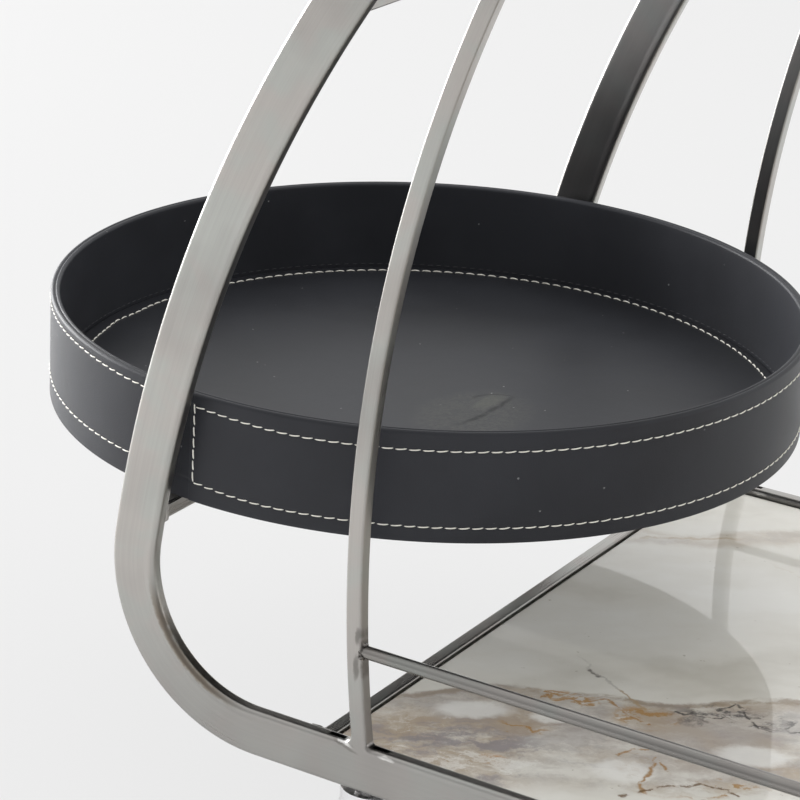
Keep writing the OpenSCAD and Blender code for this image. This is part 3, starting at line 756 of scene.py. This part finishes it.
wide_outline = rounded_outline(BAR_W, BAR_T, 2.5, 8, 1.2)
thin_outline = rounded_outline(THIN_W, BAR_T, 1.5, 6, 3.0)
for side_name, side_y in (("near", -BAR_Y), ("far", BAR_Y)):
    loop, loop_tangents, loop_ridge = frame_loop(side_y)
    ridged_outlines = ridged(wide_outline, loop_ridge)
    bar = swept(f"{side_name}_frame_bar", loop, loop_tangents, -Y_AXIS, ridged_outlines, closed=True)
    dress_bar(bar, gunmetal, f"{side_name}_bottom_rail", f"{side_name}_crown",
          *[f"{side_name}_{end}_{part}" for end in ("left", "right") for part in ("bend", "side_bar")])
    for end_name, end in (("left", 1.0), ("right", -1.0)):
        corner_name = f"{side_name}_{end_name}"
        path, tangents = thin_bar_path()
        bar = swept(f"{corner_name}_thin_bar_dressed", path * [end, 1, 1] + [FRAME_X, side_y, 0],
                    tangents * [end, 1, 1], -Y_AXIS * end, thin_outline, u_shift=300.0 * end)
        dress_bar(bar, gunmetal, f"{corner_name}_thin_bar")
        foot_fillet(f"{corner_name}_foot_outer", side_y, end, -1.0, 4.5)
        foot_fillet(f"{corner_name}_foot_inner", side_y, end, 1.0, 2.2)
        rod_end = np.array([FRAME_X - end * (WELD_X - 2.2), side_y, ROD_Z])
        weld_bead(f"{corner_name}_rod_bead", rod_end - end * 0.9 * X_AXIS, X_AXIS, ROD_D / 2 + 0.15, 1.15,
                  end + side_y)


def node_box(node):
    """Lowest and highest corner of a CAD node, and its middle, in mm."""
    low, high = (np.array(c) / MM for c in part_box(node))
    return low, high, (low + high) / 2


def along_x(node, outline, u_shift, finish=cross_metal, grow=0.0):
    """Straight bar along X in the place of a node, grown a little into its neighbours."""
    low, high, (_, y, z) = node_box(node)
    path, tangents = line([low[0] - grow, y, z], [high[0] + grow, y, z], 60)
    bar = swept(node + "_dressed", path, tangents, -Y_AXIS, outline, u_shift=u_shift)
    dress_bar(bar, finish, node)


def along_y(node, outline, u_shift, outward, inward, top, highest=1000.0):
    """Straight bar along Y in the place of a node, with a weld collar at each end."""
    low, high, (x, _, z) = node_box(node)
    path, tangents = line([x, low[1], z], [x, high[1], z], 60)
    bar = swept(node + "_dressed", path, tangents, X_AXIS, outline, u_shift=u_shift)
    dress_bar(bar, cross_metal, node)
    for side_name, place, way in (("near", low[1], 1.0), ("far", high[1], -1.0)):
        weld_collar(f"{node}_weld_{side_name}", (x, place, z), way, high[0] - low[0], high[2] - low[2],
                    outward, inward, top, highest)


square_bar = rounded_outline(8.0, 8.0, 1.4)
# an outline swept along Y with side X has its first direction along Z
upright_bar = rounded_outline(16.0, 8.0, 1.4)
for node, shift, inward in (("left_spreader_bar", 0, 3.0), ("right_spreader_bar", 300, 3.0),
                            ("tray_bar", 700, 0.6)):
    along_y(node, square_bar, shift, 4.0, inward, 1.8)
for level, top, shifts in (("", RAIL_TOP, (90, 370)), ("upper_", UPPER_TOP + 4.0, (500, 900))):
    for end_name, shift in zip(("left", "right"), shifts):
        along_y(f"{level}shelf_{end_name}_bar", upright_bar, shift, 9.0, 1.0, 1.2, top - 0.5)
for node, shift in (("near_gallery_rod", 0), ("far_gallery_rod", 430)):
    along_x(node, round_outline(ROD_D), shift, rod_metal, 0.5)
for node, shift in (("near_upper_rail", 150), ("far_upper_rail", 830)):
    along_x(node, rounded_outline(BAR_W, BAR_T, 2.5, 8, 4.0), shift)


# ------------ tray
# angles round the tray from +X: the strip's end, the upright stitch row, and the gap that the
# round rows leave at it
SEAM, SEAM_ROW, BARE = (math.radians(v) for v in (-94.2, -93.55, 3.4))
LAP_DEPTH, LAP_CLIMB = 0.8, math.radians(20.0)
RIM_ROUND, FOOT_ROUND, FOOT_DROP, RIM_DIP = 1.7, 1.0, 0.8, 0.5
PITCH, STITCH_LEN, STITCH_THICK, STITCH_LEAN = 6.45, 5.7, 0.68, 4.5


def lap(angle):
    """How far the wall's face lies back from the full radius, in mm.

    The strip's end lies on top just past the seam. Before it, the layer below is lower by the
    strip's thickness and climbs back over 20 degrees."""
    behind = (SEAM - angle) % (2 * math.pi)
    return LAP_DEPTH * np.clip(1 - behind / LAP_CLIMB, 0, 1) ** 2


def left_share(angle, start, stop):
    """0 up to one angle, 1 past the other, going round to the left from the front, in degrees;
    back to 0 behind the tray."""
    degrees = (np.degrees(angle) + 270) % 360 - 270
    rise, fall = (np.clip(v, 0, 1) for v in ((start - degrees) / (start - stop), (degrees + 255) / 50))
    return rise ** 2 * (3 - 2 * rise) * fall ** 2 * (3 - 2 * fall)


def top_row(angle):
    """Height of the upper stitch row: 46.5 on the right, climbing to 51.7 on the left."""
    return 46.5 + 3.2 * left_share(angle, -76, -98) + 2.0 * left_share(angle, -98, -124)


def bottom_row(angle):
    """Height of the lower stitch row: 7.3 on the right, climbing to 11.8 on the left."""
    return 7.3 + 4.5 * left_share(angle, -80, -105)


def floor_row(angle):
    """Radius of the ring of stitches on the mat: wider at the back, with one small kink."""
    degrees = np.degrees(angle) % 360
    return (186.2 + 4.9 * np.exp(-(((degrees - 80) / 50) ** 2)) + 1.1 * np.exp(-(((degrees - 187) / 3) ** 2))
            - 0.9 * np.exp(-(((degrees - 181) / 3.5) ** 2)))


def groove(away, depth=0.25, width=0.8):
    """Depth of the shallow groove that a stitch row pulls into the hide."""
    return depth * np.exp(-((away / width) ** 2))


def tray_wall_piece():
    """Surface of revolution with a lapped seam.

    The profile goes up the outside, over a flat rim with small rounds and down the inside.
    Its radius is the wall's, less a shallow groove where each stitch row pulls the hide in,
    less the lap at the seam on the outside. A valley of a sine runs round the rim."""
    angles = np.sort(np.concatenate([np.linspace(-math.pi, math.pi, 720, endpoint=False),
                                     SEAM + np.radians([-0.05, -0.012, 0.012, 0.05])]))
    turn = np.linspace(0, math.pi / 2, 8)
    sine, cosine = np.sin(turn), np.cos(turn)
    bottom, shoulder, inner = FOOT_ROUND - FOOT_DROP, TRAY_H - RIM_ROUND, TRAY_R - TRAY_WALL
    outside_z = np.unique(np.concatenate([np.linspace(bottom, shoulder, 24), np.linspace(5.0, 14.0, 25),
                                          np.linspace(44.5, 53.5, 25)]).round(3))
    inside_z = np.linspace(shoulder, TRAY_FLOOR - 1.5, 24)
    across = np.linspace(0, 1, 9)[1:-1]
    foot = np.stack([TRAY_R - FOOT_ROUND + FOOT_ROUND * sine, bottom - FOOT_ROUND * cosine], 1)
    outside = np.stack([np.full(len(outside_z), TRAY_R), outside_z], 1)
    over = np.stack([TRAY_R - RIM_ROUND + RIM_ROUND * cosine, shoulder + RIM_ROUND * sine], 1)
    rim = np.stack([TRAY_R - RIM_ROUND - across * (TRAY_WALL - 2 * RIM_ROUND),
                    TRAY_H - RIM_DIP * np.sin(across * math.pi) ** 1.5], 1)
    back = np.stack([inner + RIM_ROUND - RIM_ROUND * sine, shoulder + RIM_ROUND * cosine], 1)
    inside = np.stack([np.full(len(inside_z), inner), inside_z], 1)
    profile = np.concatenate([foot[:-1], outside, over[1:], rim, back, inside[1:], [[inner, -FOOT_DROP]]])
    outer_share = np.concatenate([np.ones(len(foot) - 1 + len(outside) + len(over) - 1), 1 - across,
                                  np.zeros(len(back) + len(inside))])
    radius = profile[None, :, 0] - lap(angles)[:, None] * outer_share
    on_wall = (outer_share == 1) & (profile[:, 1] > 1.0) & (profile[:, 1] < shoulder - 0.01)
    for row in (top_row, bottom_row):
        radius -= on_wall * groove(profile[None, :, 1] - row(angles)[:, None])
    points = np.stack([TRAY_X + radius * np.cos(angles)[:, None], radius * np.sin(angles)[:, None],
                       np.broadcast_to(TRAY_Z + profile[None, :, 1], radius.shape)], 2)
    index, _ = grid_faces(*radius.shape, True, True)
    return new_piece("tray_wall_leather", points.reshape(-1, 3), [index])


dress(tray_wall_piece(), "tray", "leather", wall_leather, "tray_wall")


MAT_ROUND, MAT_UNDER = 1.6, 3.7


def tray_mat_piece():
    """Disc whose height is the mat's top, lower in a groove under the stitch ring and
    rolled down at its edge, with long low wrinkles."""
    rim = TRAY_R - TRAY_WALL
    radii = np.unique(np.concatenate([np.linspace(0.01, 182, 50), np.linspace(183, 193, 30),
                                      rim - np.linspace(0, MAT_ROUND, 6)]))
    angles = np.linspace(-math.pi, math.pi, 540, endpoint=False)
    r, a = np.meshgrid(radii, angles, indexing="ij")
    x, y = r * np.cos(a), r * np.sin(a)
    z = TRAY_FLOOR - groove(r - floor_row(a), 0.3, 0.9)
    rolled = np.clip(r - rim + MAT_ROUND, 0, None) / MAT_ROUND
    z = z - (1 - np.sqrt(np.clip(1 - rolled ** 2, 0, 1)))
    swell = 0.10 * np.sin(x / 31 + 1.3) * np.cos(y / 43 + 0.4) + 0.05 * np.sin((x + 0.6 * y) / 13.0)
    z = z + swell * np.clip((180 - r) / 60, 0, 1)
    points = np.stack([TRAY_X + x, y, TRAY_Z + z], 2).reshape(-1, 3)
    index, _ = grid_faces(len(radii), len(angles), False, True)
    under = points[-len(angles):] * [1, 1, 0] + [0, 0, TRAY_Z + MAT_UNDER]
    edge, _ = grid_faces(2, len(angles), False, True)
    edge = edge + (len(radii) - 1) * len(angles)
    last = (np.arange(len(angles)) + len(radii) * len(angles))[::-1][None]
    hub = np.arange(len(angles))[None]
    return new_piece("tray_mat_leather", np.concatenate([points, under]), [index, edge, hub, last])


dress(tray_mat_piece(), "tray", "leather", mat_leather, "tray_mat")


def stitches(name, centres, along, out, length=STITCH_LEN, thick=STITCH_THICK, finish=thread):
    """One thread stitch at each centre.

    A stitch is a tube whose middle line is an arch: it rises from the hide by a quarter
    sine, and its ends dive below it. The tube has 6 sides and 7 rings, thinner at the ends."""
    t, ring, count = np.linspace(-1, 1, 7), np.arange(6) * math.pi / 3, len(centres)
    lift = thick * (0.40 * np.cos(t * math.pi / 2) - 0.22 * np.abs(t) ** 3)
    width = thick / 2 * np.sqrt(np.clip(1.08 - t ** 6, 0.05, 1))
    sag = 0.1 * (1 - t ** 2)
    local = np.stack([np.broadcast_to((t * length / 2)[:, None], (7, 6)),
                      lift[:, None] + width[:, None] * np.sin(ring),
                      width[:, None] * np.cos(ring) - sag[:, None]], 2).reshape(-1, 3)
    ways = np.stack([along, out, np.cross(out, along)], 1)
    points = centres[:, None] + local @ ways
    index, _ = grid_faces(7, 6, False, True)
    firsts = 42 * np.arange(count)[:, None, None]
    ends = np.stack([np.arange(6)[::-1], 36 + np.arange(6)])
    faces = [(index[None] + firsts).reshape(-1, 4)[:, ::-1], (ends[None] + firsts).reshape(-1, 6)]
    return dress(new_piece(name, points.reshape(-1, 3), faces), "tray", "leather", finish)


def round_ways(angle):
    """Outward and onward directions at angles round the tray."""
    nothing = 0 * angle
    return (np.stack([np.cos(angle), np.sin(angle), nothing], 1),
            np.stack([-np.sin(angle), np.cos(angle), nothing], 1))


def wall_stitches(name, radius, row, pitch=PITCH, lean=STITCH_LEAN, **thread_kind):
    """Stitches round the wall from the seam to just before it, each leaning a little. A lean
    below nothing is for the inner side of the wall."""
    sweep = 2 * math.pi - BARE
    count = int(sweep * radius / pitch)
    angle = SEAM_ROW + (np.arange(count) + 0.5) * sweep / count
    out, onward = round_ways(angle)
    leans = np.radians(lean) + np.radians(2.0) * np.sin(np.arange(count) * 2.4)
    along = onward * np.cos(leans)[:, None] + Z_AXIS * np.sin(leans)[:, None]
    r = radius - 0.2 - lap(angle) if lean > 0 else np.full(count, radius)
    centres = out * r[:, None] + [TRAY_X, 0, TRAY_Z] + row(angle)[:, None] * Z_AXIS
    stitches(name, centres, along, out * math.copysign(1, lean), **thread_kind)


wall_stitches("tray_stitch_top", TRAY_R, top_row)
wall_stitches("tray_stitch_bottom", TRAY_R, bottom_row)
wall_stitches("tray_stitch_foot", TRAY_R - TRAY_WALL, lambda a: TRAY_FLOOR + 1.6 + 0 * a, 5.0, -3.0,
              length=3.4, thick=0.4, finish=dark_thread)
seam_z = np.linspace(bottom_row(SEAM_ROW) + 2.8, top_row(SEAM_ROW) - 1.4, 7)
seam_out, seam_on = round_ways(np.full(len(seam_z), SEAM_ROW))
stitches("tray_stitch_seam", seam_out * (TRAY_R - 0.1) + [TRAY_X, 0, TRAY_Z] + seam_z[:, None] * Z_AXIS,
         unit(Z_AXIS - 0.09 * seam_on), seam_out, 5.6, 0.74)
floor_angle = np.linspace(0, 2 * math.pi, int(2 * math.pi * 188 / PITCH), endpoint=False)
floor_out, floor_on = round_ways(floor_angle)
floor_places = floor_out * floor_row(floor_angle)[:, None] + [TRAY_X, 0, TRAY_Z + TRAY_FLOOR - 0.2]
stitches("tray_stitch_floor", floor_places, unit(floor_on + 0.06 * floor_out),
         np.repeat(Z_AXIS[None], len(floor_angle), 0), 5.4, 0.78)


# ------------ stone shelves
CHAMFER = 0.7


def slab(name, node, lean):
    """Stone slab with fine polished chamfers: a rounded outline carried up a short profile.

    Faces are flat. The top's normal leans towards the near side, as the polish does, which
    puts the mirrored tray and bars where the photograph shows them."""
    low, high, centre = node_box(node)
    size = (high - low)[:2]
    outline = rounded_outline(*size, 1.2, 4, 1000.0)
    n = len(outline)
    levels = [(CHAMFER, low[2]), (0.0, low[2] + CHAMFER), (0.0, high[2] - CHAMFER), (CHAMFER, high[2])]
    points = np.concatenate([np.column_stack([outline * (size - 2 * c) / size + centre[:2], np.full(n, z)])
                             for c, z in levels])
    index, _ = grid_faces(4, n, False, True)
    sides, bottom, top = index[:, ::-1], np.arange(n)[None, ::-1], (3 * n + np.arange(n))[None]
    corners = points[sides]
    across = unit(np.cross(corners[:, 1] - corners[:, 0], corners[:, 2] - corners[:, 0]))
    normals = np.concatenate([np.repeat(across, 4, 0), np.tile(-Z_AXIS, (n, 1)),
                              np.tile(unit(Z_AXIS - lean * Y_AXIS), (n, 1))])
    piece = new_piece(name, points, [sides, bottom, top], normals=normals)
    dress(piece, "frame", "stone", stone, node)


slab("lower_slab", "lower_stone_shelf", 0.078)
slab("upper_slab", "upper_stone_shelf", 0.0)


# ------------ CAD nodes that stay
stays = {"upper_rods": metal_along_x, "lower_ledges": metal_along_x, "upper_ledges": metal_along_x,
         "tray_bearers": metal_along_x, "caster_blocks": metal_along_x, "handle_bars": metal_along_y,
         "shelf_braces": metal_along_y, "caster_stems": chrome, "tray_pads": pad_rubber,
         "tray_floor": board_leather}
for side_name in ("near", "far"):
    stays[f"{side_name}_brake_pedal"] = pedal_plastic
    for end_name in ("left", "right"):
        corner = {"fork": chrome, "axle": chrome, "core": core_plastic, "tyre": tyre_rubber}
        stays.update({f"{side_name}_{end_name}_{part}": finish for part, finish in corner.items()})
for node, finish in stays.items():
    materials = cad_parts[node].data.materials
    materials.clear()
    materials.append(finish.material)


# ------------ studio
FLOOR_HALF, PALE_GREY = 9.0, (0.86, 0.86, 0.86)
FLOOR_SEEN, FLOOR_SEEN_SHARE = 0.82, 0.9
BRIGHT_WAY = (-0.45, 0.45, 0.77)


def studio_floor():
    """Matt plane to the object, and a mostly flat pale colour where the camera looks at it."""
    mesh = bpy.data.meshes.new("studio_floor")
    signs = ((-1, -1), (1, -1), (1, 1), (-1, 1))
    mesh.from_pydata([(FLOOR_HALF * x, FLOOR_HALF * y, 0) for x, y in signs], [], [(0, 1, 2, 3)])
    f = Finish("studio_floor_paint", Roughness=0.9, Base_Color=PALE_GREY)
    camera = f.node("ShaderNodeLightPath", output="Is Camera Ray")
    glow = f.node("ShaderNodeEmission", None, {"Color": (1.0, 1.0, 1.0), "Strength": FLOOR_SEEN})
    paint = Value(f, f.shader.outputs[0])
    mixed = f.node("ShaderNodeMixShader", None, [camera * FLOOR_SEEN_SHARE, paint, glow])
    f.put(f.output.inputs["Surface"], mixed)
    mesh.materials.append(f.material)
    add_object("studio_floor", mesh)


def placed(*columns):
    """Matrix from three axes and a place."""
    return Matrix([[c[i] for c in columns] for i in range(3)] + [[0, 0, 0, 1]])


def softbox(name, place, aim, size, power):
    """Rectangular lamp at a place, turned towards its aim."""
    lamp = bpy.data.lights.new(name, "AREA")
    lamp.shape, lamp.size, lamp.size_y = "RECTANGLE", *size
    lamp.energy = power
    back = unit(np.array(place, float) - np.array(aim, float))
    right = unit(np.cross(Z_AXIS, back))
    add_object(name, lamp).matrix_world = placed(right, np.cross(back, right), back, place)


def studio_world():
    """Pale surroundings, brighter to the left, behind and above, and a plain grey for the camera."""
    world = bpy.data.worlds.new("studio_world")
    bpy.context.scene.world = world
    world.use_nodes = True
    w = Nodes(world.node_tree)
    way = w.node("ShaderNodeTexCoord", output="Generated")
    towards = w.node("ShaderNodeVectorMath", {"operation": "DOT_PRODUCT"}, [way, BRIGHT_WAY], "Value")
    level = w.node("ShaderNodeMapRange", None, [towards, -1.0, 1.0, 0.2, 1.7])
    light = w.node("ShaderNodeBackground", None, {"Strength": level})
    seen = w.node("ShaderNodeBackground", None, {"Color": PALE_GREY})
    camera = w.node("ShaderNodeLightPath", output="Is Camera Ray")
    mixed = w.node("ShaderNodeMixShader", None, [camera, light, seen])
    w.node("ShaderNodeOutputWorld", None, {"Surface": mixed}, None)


studio_floor()
softbox("overhead_softbox", (-0.6, 0.9, 2.4), (0, 0, 0.3), (2.2, 1.6), 4.0)
softbox("left_softbox", (-2.7, 0.2, 0.65), (-0.35, 0, 0.25), (2.2, 1.2), 95.0)
softbox("right_softbox", (2.2, 1.0, 0.8), (0.1, 0, 0.2), (1.6, 1.2), 10.0)
studio_world()


# ------------ camera
AZIMUTH, ELEVATION, ROLL = (math.radians(v) for v in (35.1029, 26.1504, -1.352))
CAMERA_MM = np.array([424.717, -1324.304, 763.419])
PICTURE_PX, FOCAL_PX, CENTRE_PX = 800.0, 2995.63, (131.93, 663.73)
SENSOR_MM = 36.0


def photo_camera():
    """The photograph's view, with the shift of a picture that was cut from the upper right of
    a wider one."""
    ahead = np.array([-math.sin(AZIMUTH) * math.cos(ELEVATION), math.cos(AZIMUTH) * math.cos(ELEVATION),
                      -math.sin(ELEVATION)])
    right = np.array([math.cos(AZIMUTH), math.sin(AZIMUTH), 0.0])
    down = np.cross(ahead, right)
    turned_right = right * math.cos(ROLL) + down * math.sin(ROLL)
    turned_down = down * math.cos(ROLL) - right * math.sin(ROLL)
    data = bpy.data.cameras.new("photo_camera")
    data.sensor_width, data.sensor_fit = SENSOR_MM, "HORIZONTAL"
    data.lens = FOCAL_PX / PICTURE_PX * SENSOR_MM
    data.shift_x, data.shift_y = 0.5 - CENTRE_PX[0] / PICTURE_PX, CENTRE_PX[1] / PICTURE_PX - 0.5
    data.clip_start, data.clip_end = 0.01, 100.0
    camera = add_object("photo_camera", data)
    camera.matrix_world = placed(turned_right, -turned_down, -ahead, CAMERA_MM * MM)
    bpy.context.scene.camera = camera


photo_camera()
bpy.context.scene.view_settings.view_transform = "Standard"
